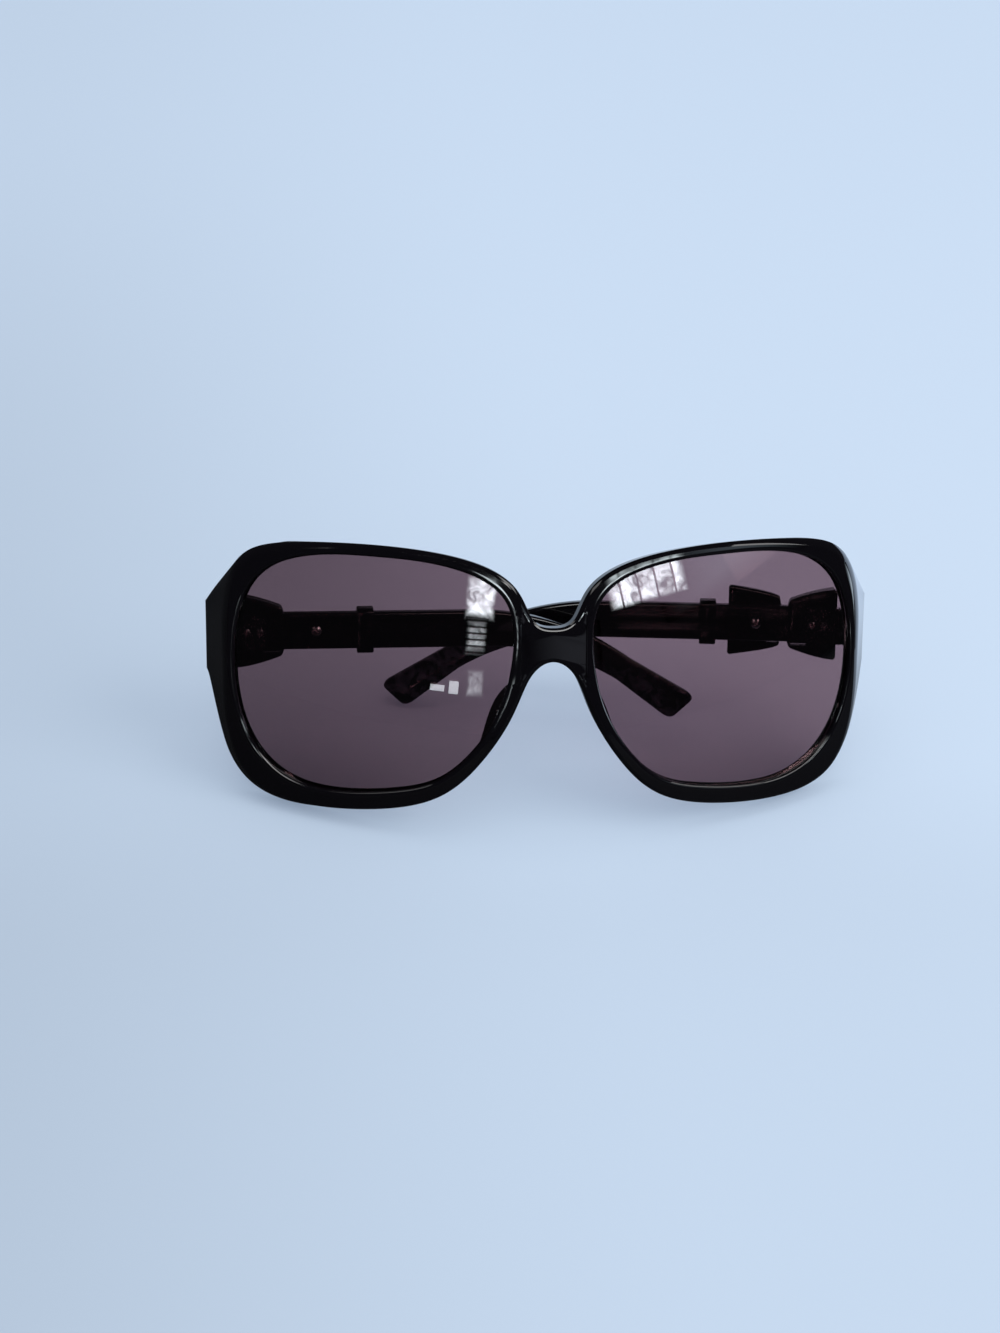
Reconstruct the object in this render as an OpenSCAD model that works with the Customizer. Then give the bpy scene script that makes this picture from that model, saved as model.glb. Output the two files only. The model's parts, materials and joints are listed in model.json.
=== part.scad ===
// Folding sunglasses with large lenses and belt-strap temples that carry a bow.
// The front is drawn upright with x to the side, y towards the wearer and z up, and the
// finished glasses are then leaned back until they stand on both rims and a temple tip.
// Right and left are the wearer's.

/* [Front] */
// Width of one lens opening
lens_w = 58; // [52:1:64]
// Height of one lens opening
lens_h = 51.2; // [44:1:56]
// Gap between the two lens openings
bridge_w = 16.6; // [15:0.5:20]
// Height of the bridge above the lens middle
lens_drop = 1.8; // [0:0.2:4]
// Width of the rim beside a lens
rim_side = 3.2; // [2.8:0.1:4.5]
// Width of the rim above and below a lens
rim_band = 3.1; // [2.6:0.1:4.5]
// Thickness of the front from face to back
rim_t = 4.2; // [3.8:0.1:5]
// Radius of the ball that the face and lenses are curved to
base_r = 145; // [125:5:180]
// Width of the bevel round the outside of the face
face_bevel = 0.9; // [0.5:0.1:1.2]
// Width of the bevel round each lens opening
lens_bevel = 0.7; // [0.3:0.1:1]
// How far the rim's back edge stands out past its face on the outer side
rim_flare = 2.4; // [0:0.1:3]

/* [Lenses] */
// Thickness of a lens
lens_t = 1.8; // [1.6:0.1:2.2]
// How far a lens reaches into its groove
lens_seat = 0.5; // [0.3:0.1:0.7]

/* [End pieces] */
// How far an end piece runs back from the face
lug_len = 11.2; // [10.6:0.2:13]
// How far an end piece flares out past the rim
lug_out = 2.6; // [1:0.2:4]
// Thickness of an end piece where the temple meets it
lug_t = 4.5; // [3.8:0.1:5.5]
// Height of an end piece and of the temple's front end
lug_h = 15.8; // [12:0.2:17]

/* [Temples] */
// Straight length from the hinge to the start of the ear bend
temple_len = 54; // [46:0.5:70]
// Radius of the ear bend
bend_r = 56; // [40:1:70]
// Angle that the ear bend drops
bend_drop = 34; // [26:1:42]
// Straight length of the tip after the bend
tip_len = 16; // [12:0.5:30]
// Height of the strap
strap_h = 8; // [7:0.1:9.5]
// Height of the narrow place where the strap turns down behind the ear
waist_h = 5.5; // [5.2:0.1:7]
// Thickness of the strap
strap_t = 3; // [2.8:0.1:3.8]
// Height of the bow where it meets the knot
knot_h = 11; // [10:0.2:12]
// Length of the front half of the bow
bow_front_len = 10.6; // [9.4:0.2:12]
// Length of the rear half of the bow
bow_rear_len = 11.3; // [9:0.2:13]
// Thickness of the rear half of the bow
bow_rear_t = 2.2; // [1.6:0.1:3]
// Width of the keeper loop along the strap
keeper_w = 3.6; // [3:0.1:5]
// Wall of the keeper loop
keeper_wall = 0.9; // [0.7:0.1:1.2]

/* [Hinges] */
// Outer radius of a hinge knuckle
knuckle_r = 1.2; // [1:0.05:1.3]
// Height of one of the three knuckles
knuckle_h = 2.4; // [2:0.1:3]
// Radius of the hinge screw
pin_r = 0.6; // [0.5:0.05:0.7]
// Thickness of a hinge leaf
leaf_t = 0.8; // [0.6:0.1:0.9]
// Angle by which the inner folded temple lies off the front
right_fold = 0.5; // [-1:0.5:0.5]
// Angle by which the outer folded temple lies off the front
left_fold = 9.5; // [9.5:0.5:11]

/* [Hidden] */
black = "#17171a";
tint = "#6d5c6b";
steel = "#b9bcc2";
round_n = 48;
ball_n = 160;
overrun = 1;
// Running gap round the hinge screw
pin_gap = 0.05;
// Gap between hinge knuckles
knuckle_gap = 0.1;
// Gap between pieces that lie against each other
fit_gap = 0.05;
// Gap between a lens and the walls of its groove
groove_gap = 0.1;
// Gap between bodies that pass each other
body_gap = 0.3;

// Shares of the lens box, from its middle, for the outline of a lens opening
lens_shares = [
    [-1.00, 0.10], [-0.88, -0.39], [-0.54, -0.89], [-0.19, -1.00], [0.56, -1.06], [0.94, -0.62],
    [1.03, 0.06], [0.93, 0.80], [0.46, 1.01], [-0.05, 0.99], [-0.49, 0.96], [-1.02, 0.74]
];
// Shares of the lens box grown by the rim, from the nose arch round to the bridge top
rim_shares = [
    [-0.997, 0.06], [-0.916, -0.265], [-0.70, -0.65], [-0.43, -0.962], [0.03, -1.046],
    [0.506, -1.042], [0.86, -0.905], [1.0, -0.43], [1.0, 0.115], [1.006, 0.54],
    [0.875, 0.92], [0.481, 0.976], [-0.068, 0.983], [-0.634, 0.902], [-0.953, 0.704],
    [-1.009, 0.408]
];
// Shares of the grown half height at which the arch and the bridge top cross the middle
arch_share = 0.185;
bridge_top_share = 0.387;
// Shares of the rim's flare along the outside, from the nose arch to the bridge top
flare_shares = [0, 0, 0, 0, 0.1, 0.4, 0.9, 1.1, 1.1, 1, 0.8, 0.3, 0, 0, 0, 0, 0, 0];
// Shares of the face bevel along the outside, which widens over the end pieces
bevel_shares = [1, 1, 1, 1, 1, 1, 1, 1.3, 1.9, 2.5, 2.8, 2.4, 1.5, 1, 1, 1, 1, 1];

lens_cx = bridge_w/2 + lens_w/2;
half_w = bridge_w/2 + lens_w + rim_side;
grown_x = lens_w/2 + rim_side;
grown_z = lens_h/2 + rim_band;
span_steps = 4;
middle_steps = 3;
lens_steps = 120;
// The end piece covers these spans of the outside curve, and flows into the rim over more
lug_from_share = 8.75;
lug_to_share = 10;
lug_tail_share = 1.25;
lug_flare_share = 1.75;

// Depths behind the face, measured towards the middle of the ball
groove_front = 1.1;
lens_front = groove_front + groove_gap;
groove_back = lens_front + lens_t + groove_gap;
groove_clear = 0.35;
back_bevel = 0.4;
// The lip behind the lens stands back from the opening and slopes away from it
lip_out = 0.2;
lip_h = 0.3;
lip_bevel = 0.8;

arm_z = 2.9;
arm_edge = 0.7;
lug_x = half_w + lug_out;
lug_y = sag([half_w, 0]) + lug_len;
// The hinge axis stands just inside the inner faces and just behind the end piece
axis_in = knuckle_r + body_gap;
axis_x = lug_x - lug_t - axis_in;
axis_y = lug_y + body_gap/2;

// Cubic blend of four control points, smooth in slope and curvature
function blend4(a, b, c, d, f) =
    (a*pow(1 - f, 3) + b*(3*pow(f, 3) - 6*f*f + 4)
    + c*(-3*pow(f, 3) + 3*f*f + 3*f + 1) + d*pow(f, 3))/6;
function closed_curve(c, n) = let (m = len(c)) [for (i = [0:n - 1])
    let (t = i*m/n, k = floor(t))
    blend4(c[(k + m - 1)%m], c[k%m], c[(k + 1)%m], c[(k + 2)%m], t - k)];
function open_value(c, t) = let (k = min(floor(t), len(c) - 4))
    blend4(c[k], c[k + 1], c[k + 2], c[k + 3], t - k);
function unit(v) = v/norm(v);
function mix(a, b, f) = a + (b - a)*f;
function column(m, i) = [for (p = m) p[i]];

// Depth of the ball behind the flat plane that touches it in the middle
function sag(p) = base_r - sqrt(base_r*base_r - p[0]*p[0] - p[1]*p[1]);
// A point of the face moved d towards the middle of the ball
function shell_pt(p, d) = let (k = 1 - d/base_r) [p[0]*k, sag(p)*k + d, p[1]*k];

// Outline of the lens opening, fitted exactly to its width and height
lens_raw = closed_curve(lens_shares, lens_steps);
raw_lo = [min(column(lens_raw, 0)), min(column(lens_raw, 1))];
raw_hi = [max(column(lens_raw, 0)), max(column(lens_raw, 1))];
lens_line = [for (p = lens_raw) [
    lens_cx + lens_w*((p[0] - raw_lo[0])/(raw_hi[0] - raw_lo[0]) - 1/2),
    -lens_drop + lens_h*((p[1] - raw_lo[1])/(raw_hi[1] - raw_lo[1]) - 1/2)]];
// The same outline as distance from its middle by angle, for lookup
lens_polar = let (pairs = [for (p = lens_line)
    [atan2(p[1] + lens_drop, p[0] - lens_cx), norm([p[0] - lens_cx, p[1] + lens_drop])]],
    turned = [for (k = [-1:1]) for (q = sorted(pairs)) [q[0] + 360*k, q[1]]]) turned;
function sorted(v) = len(v) <= 1 ? v : let (m = v[floor(len(v)/2)][0])
    concat(sorted([for (q = v) if (q[0] < m) q]), [for (q = v) if (q[0] == m) q],
    sorted([for (q = v) if (q[0] > m) q]));
function lens_at(angle, grow = 0) = let (r = lookup(angle, lens_polar) + grow)
    [lens_cx + r*cos(angle), -lens_drop + r*sin(angle)];

// Outside curve of one half, from the nose arch out and over to the bridge top
rim_ctrl = let (
    inner = [for (s = rim_shares) [lens_cx + s[0]*grown_x, -lens_drop + s[1]*grown_z]],
    low = [0, -lens_drop + arch_share*grown_z],
    top = [0, -lens_drop + bridge_top_share*grown_z],
    n = len(inner))
    concat([[-inner[0][0], inner[0][1]], low], inner,
    [top, [-inner[n - 1][0], inner[n - 1][1]]]);
function padded(shares) = concat([shares[1]], shares, [shares[len(shares) - 2]]);
spans = len(rim_ctrl) - 3;
outer_n = spans*span_steps + 1;
station_n = outer_n + middle_steps;
// Each station: outside point, inward normal, bevel width, place along the curve
outer_stations = [for (i = [0:outer_n - 1])
    let (t = i/span_steps, e = 1/(8*span_steps),
    p = open_value(rim_ctrl, t),
    q = open_value(rim_ctrl, min(t + e, spans)) - open_value(rim_ctrl, max(t - e, 0)),
    straight = i == 0 ? [0, 1] : i == outer_n - 1 ? [0, -1] : unit([-q[1], q[0]]))
    [p, straight, face_bevel*open_value(padded(bevel_shares), t), t]];
arch_z = outer_stations[0][0][1];
bridge_z = outer_stations[outer_n - 1][0][1];
middle_stations = [for (i = [1:middle_steps])
    let (f = i/(middle_steps + 1), lo = arch_z + face_bevel, hi = bridge_z - face_bevel)
    [[0, hi + f*(lo - hi)], [0, 0], 0, -1]];
stations = concat(outer_stations, middle_stations);

// Points round the section of the front at one station
function rim_section(st) = let (
    o = st[0], n = st[1], b = st[2], t = st[3],
    a = atan2(o[1] + lens_drop, o[0] - lens_cx),
    inner = lens_at(a), face_in = lens_at(a, lens_bevel),
    back = o - n*(t < 0 ? 0 : rim_flare*open_value(padded(flare_shares), t)),
    lip = lens_at(a, lip_out), back_in = lens_at(a, lip_bevel),
    groove = lens_at(a, lens_seat + groove_clear),
    on_lug = min(max(t, lug_from_share), lug_to_share),
    f = (on_lug - lug_from_share)/(lug_to_share - lug_from_share),
    lug_z = arm_z + lug_h*(f - 1/2)*(1 - 2*back_bevel/lug_h),
    g = t < 0 ? 0 : 1 - min(1, t < on_lug ? (on_lug - t)/lug_tail_share : (t - on_lug)/lug_flare_share),
    grown = g*g*(3 - 2*g),
    foot = shell_pt(o, rim_t))
    [
        shell_pt(face_in, 0),
        shell_pt(o + n*b, 0),
        shell_pt(o, min(b, rim_t/2)*0.8),
        mix(shell_pt(back, rim_t - back_bevel), [lug_x, lug_y, lug_z], grown),
        mix(shell_pt(back + n*back_bevel, rim_t), [lug_x - lug_t, lug_y, lug_z], grown),
        mix(shell_pt(back + n*2*back_bevel, rim_t), [lug_x - lug_t, foot[1], lug_z], grown),
        shell_pt(back_in, rim_t),
        shell_pt(lip, groove_back + lip_h),
        shell_pt(lip, groove_back),
        shell_pt(groove, groove_back),
        shell_pt(groove, groove_front),
        shell_pt(inner, groove_front),
        shell_pt(inner, lens_bevel)
    ];
section_n = 13;
half_pts = [for (st = stations) each rim_section(st)];
// Section points that lie on the middle plane are shared by both halves
function on_middle(i, j) = (i == 0 || i >= outer_n - 1) && j >= 1 && j <= 5;
function right_id(i, j) = (i%station_n)*section_n + j%section_n;
function left_id(i, j) = on_middle(i%station_n, j%section_n) ? right_id(i, j)
    : right_id(i, j) + station_n*section_n;
// Between stations on the middle plane the outside wall would be inside the bridge
function open_wall(i, j) = i >= outer_n - 1 && j >= 1 && j < 5;

module front_frame() {
    pts = concat(half_pts, [for (p = half_pts) [-p[0], p[1], p[2]]]);
    walls = [for (i = [0:station_n - 1]) for (j = [0:section_n - 1])
        if (!open_wall(i, j)) [i, j]];
    faces = concat(
        [for (w = walls) let (i = w[0], j = w[1])
            each [[right_id(i, j), right_id(i + 1, j), right_id(i + 1, j + 1)],
            [right_id(i, j), right_id(i + 1, j + 1), right_id(i, j + 1)]]],
        [for (w = walls) let (i = w[0], j = w[1])
            each [[left_id(i, j), left_id(i + 1, j + 1), left_id(i + 1, j)],
            [left_id(i, j), left_id(i, j + 1), left_id(i + 1, j + 1)]]]);
    color(black) stand() difference() {
        polyhedron(pts, faces);
        for (side = [0, 1]) mirror([side, 0, 0]) end_place() screw_bores(front_screws);
    }
}

// One lens: a slice of a spherical shell, cut to the outline that sits in the groove
lens_turn = asin(lens_cx/base_r);
module lens_blank() {
    line = [for (p = lens_line) let (
        a = atan2(p[1] + lens_drop, p[0] - lens_cx),
        v = shell_pt(lens_at(a, lens_seat), lens_front + lens_t/2) - [0, base_r, 0])
        [v[0]*cos(lens_turn) + v[1]*sin(lens_turn), v[2]]];
    outer = base_r - lens_front;
    translate([0, base_r, 0]) rotate([0, 0, lens_turn]) intersection() {
        difference() {
            sphere(r = outer, $fn = ball_n);
            sphere(r = outer - lens_t, $fn = ball_n);
        }
        rotate([90, 0, 0]) linear_extrude(height = outer + overrun) polygon(line);
    }
}

module right_lens() {
    color(tint, 0.75) stand() mirror([1, 0, 0]) lens_blank();
}

module left_lens() {
    color(tint, 0.75) stand() lens_blank();
}

// Skin over rings of points, closed at both ends
module skin(rings) {
    m = len(rings);
    n = len(rings[0]);
    polyhedron([for (r = rings) each r], concat(
        [[for (j = [0:n - 1]) j]],
        [for (i = [0:m - 2]) for (j = [0:n - 1]) let (k = (j + 1)%n)
            each [[i*n + j, (i + 1)*n + j, (i + 1)*n + k], [i*n + j, (i + 1)*n + k, i*n + k]]],
        [[for (j = [n - 1:-1:0]) (m - 1)*n + j]]));
}

// Nose pad, a leaf that swells from the back of the rim towards the wearer
// Where the pad starts and ends, counted in spans of the outside curve
pad_from_share = 1.15;
pad_to_share = 2.85;
pad_rise = 4.4;
pad_lean = 2.6;
pad_edge = 0.4;
pad_steps = 10;
pad_arc = 6;
function pad_ring(k) = let (
    t = pad_from_share + (pad_to_share - pad_from_share)*k/pad_steps,
    o = open_value(rim_ctrl, t),
    a = atan2(o[1] + lens_drop, o[0] - lens_cx),
    inner = lens_at(a, lip_bevel), outer = o + pad_edge*unit(inner - o),
    f = 0.2 + 0.8*sin(180*k/pad_steps))
    [for (j = [0:pad_arc]) let (u = j/pad_arc, s = f*sin(180*u))
        shell_pt(outer + u*(inner - outer) + unit(inner - outer)*pad_lean*s,
            rim_t + fit_gap + pad_rise*s)];

module nose_pad() {
    skin([for (k = [0:pad_steps]) pad_ring(k)]);
}

module right_nose_pad() {
    color(black) stand() mirror([1, 0, 0]) nose_pad();
}

module left_nose_pad() {
    color(black) stand() nose_pad();
}

// Temple pieces are drawn along x from the hinge axis, with the inner face at y = axis_in
tip_h = 7.2;
// Shares of the tip's height: distance from its end, and loss of height there
tip_shares = [[0.28, 0], [0.11, 0.04], [0.035, 0.14], [0, 0.28]];
// Slant of the tip's end, whose top edge reaches further than its bottom edge
tip_slant = 14;
core_r = 0.6;
core_h = 2.3;
core_from = 0.6;
core_len = temple_len - 3*core_r;
screw_r = 0.5;
screw_len = 2.4;
screw_head_r = 0.9;
screw_head_h = 0.35;
leaf_near = knuckle_r + body_gap;
leaf_len = 5.6;
front_leaf_len = 4.7;
leaf_h = 3*knuckle_h + 2*knuckle_gap;
temple_screws = [[leaf_near + leaf_len/4, 0], [leaf_near + 3*leaf_len/4, 0]];
front_screws = [[leaf_near + front_leaf_len/2, leaf_h*0.3],
    [leaf_near + front_leaf_len/2, -leaf_h*0.3]];
butt = body_gap;
butt_bevel = 0.4;
// Slant of the temple's front end, which lets it open a little past square
butt_slant = 6;
function slanted(ring) = [for (p = ring) p + [(p[1] - axis_in)*tan(butt_slant), 0, 0]];
knot_gap = 2;
knot_nose_h = 6.8;
knot_nose_t = 1.7;
rear_from = bow_front_len + knot_gap;
stud_s = rear_from + bow_rear_len*0.47;
stud_r = 0.8;
// Thinner free end of the stud, which the rear half of the bow is pressed on
stud_end_r = 0.45;
stud_proud = 1.5;
stud_head_r = 1.1;
stud_head_h = 0.35;
keeper_from_bow = 2.8;
keeper_s = rear_from + bow_rear_len + keeper_from_bow;
fold_slit_h = 0.55;
fold_slit_len = 3.8;
bend_steps = 8;
fan_steps = 5;

// Rounded rectangle section: centre along and up, slope, height, thickness, inner depth
corner_turns = [[1, -1, 270], [-1, -1, 180], [-1, 1, 90], [1, 1, 0]];
function arm_ring(s, h, slope, height, thick, from = axis_in, edge = arm_edge) =
    [for (c = corner_turns) for (a = [90, 45, 0]) let (
        v = c[0]*(height/2 - edge) + edge*cos(c[2] + a),
        w = from + thick/2 + c[1]*(thick/2 - edge) + edge*sin(c[2] + a))
        [s + v*sin(slope), w, h + v*cos(slope)]];
function bend_point(a) = [temple_len + bend_r*sin(a), -bend_r*(1 - cos(a))];
tip_at = bend_point(bend_drop);
function tip_point(l) = [tip_at[0] + l*cos(bend_drop), tip_at[1] - l*sin(bend_drop)];
arm_rings = concat(
    [slanted(arm_ring(butt, 0, 0, lug_h - 2*butt_bevel, lug_t - butt_bevel))],
    [slanted(arm_ring(butt + butt_bevel, 0, 0, lug_h, lug_t))],
    [for (k = [1:fan_steps]) let (f = k/fan_steps,
        s = butt + butt_bevel + f*(bow_front_len - butt - 2*butt_bevel))
        arm_ring(s, 0, 0, lug_h + (knot_h - lug_h)*pow(f, 3/2),
            lug_t - (lug_t - strap_t)*f/2)],
    [arm_ring(bow_front_len, 0, 0, knot_h - 2*butt_bevel, (lug_t + strap_t)/2 - butt_bevel/2)],
    [arm_ring(bow_front_len + butt_bevel, 0, 0, strap_h, strap_t)],
    [for (f = [0.25, 0.5, 0.75]) arm_ring(bow_front_len + f*(temple_len - bow_front_len),
        0, 0, strap_h, strap_t)],
    [for (k = [0:bend_steps]) let (a = bend_drop*k/bend_steps, p = bend_point(a))
        arm_ring(p[0], p[1], a, strap_h + (waist_h - strap_h)*k/bend_steps, strap_t)],
    [for (e = tip_shares*tip_h) let (p = tip_point(tip_len - e[0]))
        arm_ring(p[0], p[1], bend_drop + tip_slant, (tip_h - e[1])/cos(tip_slant),
            strap_t - e[1]/4)]);

module arm() {
    slit_h = strap_h/2 + fold_slit_h/2 + 3*fit_gap;
    difference() {
        skin(arm_rings);
        translate([0, axis_in + strap_t/2, core_h]) rotate([0, 90, 0])
            cylinder(r = core_r + fit_gap, h = core_from + core_len + fit_gap, $fn = round_n);
        translate([stud_s, 0, 0]) rotate([-90, 0, 0])
            cylinder(r = stud_r + fit_gap, h = axis_in + strap_t + overrun, $fn = round_n);
        screw_bores(temple_screws);
        translate([bow_front_len - butt_bevel - fold_slit_len, 0, -slit_h - fold_slit_h/2])
            cube([fold_slit_len, axis_in + lug_t + overrun, fold_slit_h]);
    }
}

// Knuckles, web and plate of one hinge leaf; places count up from the bottom knuckle
module leaf(plate_len, places, screws) {
    step = knuckle_h + knuckle_gap;
    difference() {
        union() {
            translate([leaf_near, axis_in - leaf_t, -leaf_h/2]) cube([plate_len, leaf_t, leaf_h]);
            for (k = places) translate([0, 0, (k - 1)*step - knuckle_h/2]) {
                cylinder(r = knuckle_r, h = knuckle_h, $fn = round_n);
                translate([knuckle_r/2, axis_in - leaf_t, 0])
                    cube([leaf_near + plate_len/2, leaf_t, knuckle_h]);
            }
        }
        cylinder(r = pin_r + pin_gap, h = 2*leaf_h, center = true, $fn = round_n);
        screw_bores(screws);
    }
}

module screw_bores(screws) {
    for (p = screws) translate([p[0], 0, p[1]]) rotate([-90, 0, 0])
        cylinder(r = screw_r + fit_gap, h = axis_in + screw_len + fit_gap, $fn = round_n);
}

module leaf_screws(screws) {
    for (p = screws) translate([p[0], axis_in - leaf_t, p[1]]) rotate([-90, 0, 0]) {
        cylinder(r = screw_r, h = leaf_t + screw_len, $fn = round_n);
        translate([0, 0, -screw_head_h])
            cylinder(r1 = 0.7*screw_head_r, r2 = screw_head_r, h = screw_head_h, $fn = round_n);
    }
}

module core() {
    translate([core_from, axis_in + strap_t/2, core_h]) rotate([0, 90, 0])
        cylinder(r = core_r, h = core_len, $fn = round_n);
}

module rounded_rect(w, h, r) {
    square([w - 2*r, h], center = true);
    square([w, h - 2*r], center = true);
    for (x = [-1, 1]) for (y = [-1, 1])
        translate([x*(w/2 - r), y*(h/2 - r)]) circle(r = r, $fn = round_n);
}

module keeper_loop() {
    wall = 2*(keeper_wall + fit_gap);
    translate([keeper_s, axis_in + strap_t/2, 0]) rotate([0, 90, 0])
        linear_extrude(height = keeper_w) difference() {
            rounded_rect(strap_h + wall, strap_t + wall, keeper_wall);
            square([strap_h + 2*fit_gap, strap_t + 2*fit_gap], center = true);
        }
}

// Stud that pins the bow, with its head on the inner face of the strap
module bow_stud() {
    translate([stud_s, axis_in, 0]) rotate([-90, 0, 0]) {
        cylinder(r = stud_r, h = strap_t, $fn = round_n);
        translate([0, 0, strap_t]) cylinder(r = stud_end_r, h = stud_proud, $fn = round_n);
        translate([0, 0, -stud_head_h])
            cylinder(r1 = 0.6*stud_head_r, r2 = stud_head_r, h = stud_head_h, $fn = round_n);
    }
}

rear_base = axis_in + strap_t + fit_gap;
rear_steps = 6;
rear_rings = concat(
    [for (s = [bow_front_len + butt_bevel + 2*fit_gap, rear_from - butt_bevel])
        arm_ring(s, 0, 0, knot_nose_h, knot_nose_t, rear_base)],
    [for (k = [0:rear_steps]) let (f = k/rear_steps)
        arm_ring(rear_from + f*(bow_rear_len - butt_bevel), 0, 0,
            knot_h + (lug_h - knot_h)*pow(f, 2/3),
            bow_rear_t*(0.85 + 0.3*sin(180*f)), rear_base)],
    [arm_ring(rear_from + bow_rear_len, 0, 0, lug_h - 2*butt_bevel,
        bow_rear_t*0.85 - butt_bevel/2, rear_base)]);

module rear_half() {
    slit_h = strap_h/2 + fold_slit_h + 3*fit_gap;
    difference() {
        skin(rear_rings);
        translate([stud_s, 0, 0]) rotate([-90, 0, 0])
            cylinder(r = stud_end_r + fit_gap, h = rear_base + stud_proud, $fn = round_n);
        translate([rear_from + butt_bevel, 0, -slit_h])
            cube([fold_slit_len*0.6, rear_base + 2*bow_rear_t, fold_slit_h]);
    }
}

module hinge_screw() {
    head_r = 0.9*knuckle_r;
    translate([0, 0, -leaf_h/2]) difference() {
        union() {
            cylinder(r = pin_r, h = leaf_h, $fn = round_n);
            translate([0, 0, leaf_h]) cylinder(r = head_r, h = pin_r, $fn = round_n);
        }
        translate([-head_r, -pin_r/4, leaf_h + pin_r/2]) cube([2*head_r, pin_r/2, pin_r]);
    }
}

// Folded places of the temples, and of the front's leaves, which reach the other way
module at_right() {
    stand() translate([-axis_x, axis_y, arm_z]) rotate([0, 0, right_fold]) children();
}

module at_left() {
    stand() mirror([1, 0, 0]) translate([-axis_x, axis_y, arm_z]) rotate([0, 0, left_fold])
        children();
}

module end_place() {
    translate([-axis_x, axis_y, arm_z]) mirror([1, 0, 0]) rotate([0, 0, -90]) children();
}

module on_right_end() {
    stand() end_place() children();
}

module on_left_end() {
    stand() mirror([1, 0, 0]) end_place() children();
}

// Where the folded glasses come to rest, as depth and height pairs in the upright front
function folded(rings, fold) = [for (r = rings) for (p = r)
    [axis_y + p[0]*sin(fold) + p[1]*cos(fold), arm_z + p[2]]];
front_side = [for (p = half_pts) [p[1], p[2]]];
left_side = folded(concat(arm_rings, rear_rings), left_fold);
right_side = folded(arm_rings, right_fold);
function height_at(p, lean) = p[1]*cos(lean) - p[0]*sin(lean);
function depth_at(p, lean) = p[0]*cos(lean) + p[1]*sin(lean);
function lowest(side, lean) = min([for (p = side) height_at(p, lean)]);
// Halves the range until the tip and the rims are equally low
lean_limit = 60;
lean_halvings = 24;
function settle(lo, hi, n) = let (mid = (lo + hi)/2)
    n == 0 ? mid
    : lowest(front_side, mid) < lowest(left_side, mid) ? settle(mid, hi, n - 1)
    : settle(lo, mid, n - 1);
lean = settle(0, lean_limit, lean_halvings);
rest_z = -lowest(front_side, lean);
depths = [for (p = concat(front_side, left_side, right_side)) depth_at(p, lean)];
rest_y = -(min(depths) + max(depths))/2;

module stand() {
    translate([0, rest_y, rest_z]) rotate([-lean, 0, 0]) children();
}

module right_front_leaf() {
    color(steel) on_right_end() leaf(front_leaf_len, [0, 2], front_screws);
}

module left_front_leaf() {
    color(steel) on_left_end() leaf(front_leaf_len, [0, 2], front_screws);
}

module right_front_leaf_screws() {
    color(steel) on_right_end() leaf_screws(front_screws);
}

module left_front_leaf_screws() {
    color(steel) on_left_end() leaf_screws(front_screws);
}

module right_hinge_screw() {
    color(steel) on_right_end() hinge_screw();
}

module left_hinge_screw() {
    color(steel) on_left_end() hinge_screw();
}

module right_temple_leaf() {
    color(steel) at_right() leaf(leaf_len, [1], temple_screws);
}

module left_temple_leaf() {
    color(steel) at_left() leaf(leaf_len, [1], temple_screws);
}

module right_temple_leaf_screws() {
    color(steel) at_right() leaf_screws(temple_screws);
}

module left_temple_leaf_screws() {
    color(steel) at_left() leaf_screws(temple_screws);
}

module right_temple_arm() {
    color(black) at_right() arm();
}

module left_temple_arm() {
    color(black) at_left() arm();
}

module right_temple_core() {
    color(steel) at_right() core();
}

module left_temple_core() {
    color(steel) at_left() core();
}

module right_keeper_loop() {
    color(black) at_right() keeper_loop();
}

module left_keeper_loop() {
    color(black) at_left() keeper_loop();
}

module right_bow_stud() {
    color(steel) at_right() bow_stud();
}

module left_bow_stud() {
    color(steel) at_left() bow_stud();
}

module left_bow_rear_half() {
    color(black) at_left() rear_half();
}

front_frame();
right_lens();
left_lens();
right_nose_pad();
left_nose_pad();
right_front_leaf();
left_front_leaf();
right_front_leaf_screws();
left_front_leaf_screws();
right_hinge_screw();
left_hinge_screw();
right_temple_leaf();
left_temple_leaf();
right_temple_leaf_screws();
left_temple_leaf_screws();
right_temple_arm();
left_temple_arm();
right_temple_core();
left_temple_core();
right_keeper_loop();
left_keeper_loop();
right_bow_stud();
left_bow_stud();
left_bow_rear_half();
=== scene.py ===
import json
import math

import bmesh
import bpy
from mathutils import Matrix, Vector


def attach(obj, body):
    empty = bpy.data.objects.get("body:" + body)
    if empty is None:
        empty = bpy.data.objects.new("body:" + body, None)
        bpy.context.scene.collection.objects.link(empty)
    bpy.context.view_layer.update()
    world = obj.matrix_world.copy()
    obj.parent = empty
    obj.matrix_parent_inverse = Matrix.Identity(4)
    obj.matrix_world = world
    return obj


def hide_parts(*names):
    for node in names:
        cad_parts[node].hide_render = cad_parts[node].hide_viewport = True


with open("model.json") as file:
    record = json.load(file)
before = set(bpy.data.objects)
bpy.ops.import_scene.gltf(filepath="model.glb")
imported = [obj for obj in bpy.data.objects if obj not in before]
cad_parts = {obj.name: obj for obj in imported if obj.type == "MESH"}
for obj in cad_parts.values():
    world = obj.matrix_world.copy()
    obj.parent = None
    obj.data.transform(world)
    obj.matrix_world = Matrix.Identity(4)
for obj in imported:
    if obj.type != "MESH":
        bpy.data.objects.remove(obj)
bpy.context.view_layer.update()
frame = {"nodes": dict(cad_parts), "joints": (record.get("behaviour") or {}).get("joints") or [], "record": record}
nodes = frame["nodes"]
joints = {joint["name"]: joint for joint in frame["joints"]}
recordSlot = {part["node"]: part["material_slot"] for part in frame["record"]["subparts"]}
mm = 0.001
fitGap = 0.05  # between pieces that lie against each other, in millimetres
overrun = 1  # how far a cutter runs past what it cuts, in millimetres
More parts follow.
